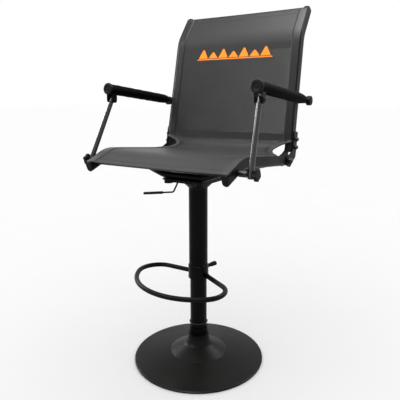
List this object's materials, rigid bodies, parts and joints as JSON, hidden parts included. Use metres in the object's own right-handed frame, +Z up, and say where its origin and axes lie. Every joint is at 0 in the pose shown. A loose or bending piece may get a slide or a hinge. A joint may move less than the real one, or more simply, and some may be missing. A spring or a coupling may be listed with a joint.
{
  "type": "blind swivel chair",
  "caption": "Folding sling chair on a trumpet base, with a swivelling gas-lift column, sliding foot ring, and foam arms and posts that fold with the back.",
  "frame": {"origin": "centre of the floor face of the base pad", "axes": "+Z up the column; the sitter faces -Y and +X is at the sitter's left hand"},
  "size_m": [0.637, 0.6024, 1.2285],
  "materials": {
    "base_black": "satin",
    "frame_black": "satin",
    "column_black": "satin",
    "zinc": "satin",
    "cast_weight": "matte",
    "rod_steel": "polished",
    "rubber_black": "matte",
    "plastic_black": "matte",
    "nylon_white": "satin",
    "foam_black": "matte",
    "sling_grey": "matte"
  },
  "bodies": {
    "base": {"floor_pad": "rubber_black", "weight_plate": "cast_weight", "base_shell": "base_black", "neck_ring": "plastic_black", "retaining_collar": "column_black", "bump_ring": "rubber_black", "column_tube": "column_black", "flange_bolts": "zinc", "thrust_bearing": "zinc", "guide_bush": "nylon_white"},
    "spindle": {"piston_rod": "rod_steel", "rod_clip": "zinc"},
    "seat": {"gas_cylinder": "column_black", "upper_sleeve": "column_black", "column_bell": "plastic_black", "mechanism_pan": "frame_black", "mounting_plate": "frame_black", "frame_bolts": "plastic_black", "lever_bracket": "zinc", "front_cross_bar": "frame_black", "rear_cross_bar": "frame_black", "front_edge_bar": "frame_black", "seat_rail_left": "frame_black", "seat_rail_right": "frame_black", "seat_caps": "plastic_black", "seat_sling": "sling_grey", "sling_bridge": "sling_grey", "hinge_bolts": "zinc", "post_bolts": "zinc"},
    "valve": {"valve_pin": "rod_steel"},
    "lever": {"lever_rod": "frame_black", "lever_grip": "plastic_black"},
    "foot_slide": {"foot_liner": "nylon_white"},
    "foot_ring": {"foot_collar": "frame_black", "foot_loop": "frame_black"},
    "foot_knob": {"foot_knob": "plastic_black"},
    "backrest": {"back_rail_left": "frame_black", "back_rail_right": "frame_black", "back_caps": "plastic_black", "lower_back_bar": "frame_black", "upper_back_bar": "frame_black", "hinge_cheeks_left": "frame_black", "hinge_cheeks_right": "frame_black", "cheek_bolts": "zinc", "back_sling": "sling_grey", "arm_pivot_bolts": "plastic_black"},
    "arm_left": {"arm_tube_left": "frame_black", "arm_foam_left": "foam_black", "arm_cap_left": "plastic_black", "arm_clevis_left": "frame_black", "clevis_bolt_left": "zinc"},
    "arm_right": {"arm_tube_right": "frame_black", "arm_foam_right": "foam_black", "arm_cap_right": "plastic_black", "arm_clevis_right": "frame_black", "clevis_bolt_right": "zinc"},
    "post_left": {"post_left": "frame_black"},
    "post_right": {"post_right": "frame_black"},
    "star_left": {"star_knob_left": "plastic_black"},
    "star_right": {"star_knob_right": "plastic_black"}
  },
  "joints": [
    {"name": "swivel", "type": "hinge", "parent": "base", "child": "spindle", "pos_m": [0, 0, 0.04], "axis": [0, 0, 1], "continuous": true},
    {"name": "seat_lift", "type": "slide", "parent": "spindle", "child": "seat", "axis": [0, 0, 1], "range_m": [0, 0.18]},
    {"name": "back_fold", "type": "hinge", "parent": "seat", "child": "backrest", "pos_m": [0, 0.147, 0.7105], "axis": [1, 0, 0], "range_deg": [0, 90], "deforming": ["sling_bridge"]},
    {"name": "lever", "type": "hinge", "parent": "seat", "child": "lever", "pos_m": [-0.03, 0, 0.6468], "axis": [0, 1, 0], "range_deg": [0, 4.5], "stiffness_Nm_per_rad": 8},
    {"name": "valve", "type": "slide", "parent": "seat", "child": "valve", "axis": [0, 0, -1], "range_m": [0, 0.004]},
    {"name": "foot_slide", "type": "slide", "parent": "base", "child": "foot_slide", "axis": [0, 0, 1], "range_m": [-0.14, 0]},
    {"name": "foot_swing", "type": "hinge", "parent": "foot_slide", "child": "foot_ring", "pos_m": [0, 0, 0.309], "axis": [0, 0, 1], "continuous": true},
    {"name": "foot_knob_turn", "type": "hinge", "parent": "foot_ring", "child": "foot_knob", "pos_m": [0, 0, 0.327], "axis": [0.2334, 0.9724, 0], "continuous": true},
    {"name": "arm_left_pivot", "type": "hinge", "parent": "backrest", "child": "arm_left", "pos_m": [-0.283, 0.233, 0.9065], "axis": [1, 0, 0], "range_deg": [-90, 0]},
    {"name": "post_left_pivot", "type": "hinge", "parent": "seat", "child": "post_left", "pos_m": [-0.296, -0.196, 0.714], "axis": [1, 0, 0], "range_deg": [0, 90]},
    {"name": "star_left_turn", "type": "hinge", "parent": "seat", "child": "star_left", "pos_m": [-0.3055, -0.196, 0.714], "axis": [1, 0, 0], "continuous": true},
    {"name": "arm_right_pivot", "type": "hinge", "parent": "backrest", "child": "arm_right", "pos_m": [0.283, 0.233, 0.9065], "axis": [1, 0, 0], "range_deg": [-90, 0]},
    {"name": "post_right_pivot", "type": "hinge", "parent": "seat", "child": "post_right", "pos_m": [0.296, -0.196, 0.714], "axis": [1, 0, 0], "range_deg": [0, 90]},
    {"name": "star_right_turn", "type": "hinge", "parent": "seat", "child": "star_right", "pos_m": [0.3055, -0.196, 0.714], "axis": [1, 0, 0], "continuous": true}
  ],
  "couplings": [
    {"joint": "valve", "follows": "lever", "m_per_rad": 0.034},
    {"joint": "arm_left_pivot", "follows": "back_fold", "ratio": -1},
    {"joint": "post_left_pivot", "follows": "back_fold", "ratio": 1},
    {"joint": "arm_right_pivot", "follows": "back_fold", "ratio": -1},
    {"joint": "post_right_pivot", "follows": "back_fold", "ratio": 1}
  ]
}
